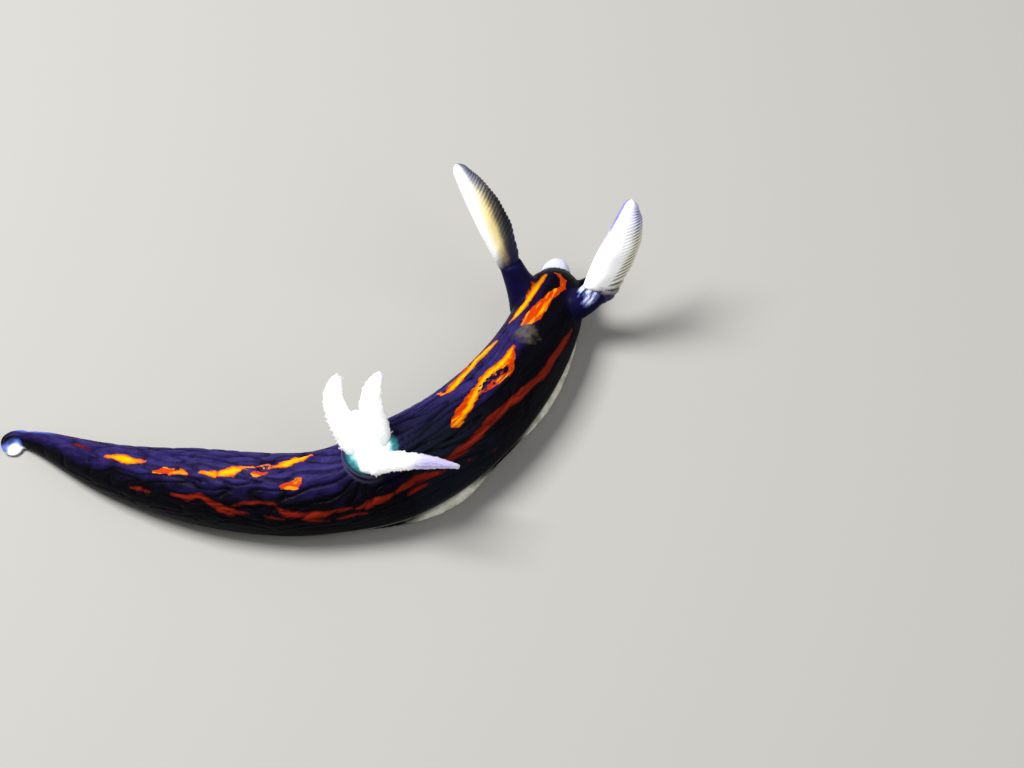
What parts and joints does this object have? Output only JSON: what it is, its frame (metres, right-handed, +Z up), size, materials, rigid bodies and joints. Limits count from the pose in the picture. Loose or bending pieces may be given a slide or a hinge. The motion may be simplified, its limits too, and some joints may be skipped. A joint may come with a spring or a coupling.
{
  "type": "graceful wrinkle dorid",
  "caption": "Life-size still model of a slender sea slug, dark indigo with orange stripes, crawling in a bend on its foot, with pale rhinophores and gills.",
  "frame": {"origin": "on the flat sole under the gill", "axes": "+Z up; +X forward along the body at the gill and along the model's longest extent; +Y to the animal's left"},
  "size_m": [0.0255, 0.0111, 0.0069],
  "materials": {
    "skin": "wet, finely wrinkled indigo-black skin with yellow-orange and dark red lengthwise stripes",
    "foot": "wet, pale green-white foot margin, darker on the sole's middle",
    "snout": "smooth lavender-white lips",
    "tentacle": "smooth violet-black with pale tips",
    "stalk": "smooth violet-blue, paler at the top",
    "club": "ivory lamellae with grey-black grooves and a lavender keel",
    "collar": "teal gill base inside a thin dark skin rim",
    "gill": "feathery translucent white with lavender tips"
  },
  "bodies": {
    "root": {"tail_tip": "skin", "tail": "skin", "hind_body": "skin", "mid_body": "skin", "fore_body": "skin", "head": "skin", "foot_rear": "foot", "foot_middle": "foot", "foot_front": "foot", "snout": "snout", "oral_tentacle_left": "tentacle", "oral_tentacle_right": "tentacle", "rhinophore_stalk_left": "stalk", "rhinophore_stalk_right": "stalk", "rhinophore_club_left": "club", "rhinophore_club_right": "club", "gill_collar": "collar", "gill_branch_rear_left": "gill", "gill_branch_left": "gill", "gill_branch_front_left": "gill", "gill_branch_front_right": "gill"}
  },
  "joints": []
}
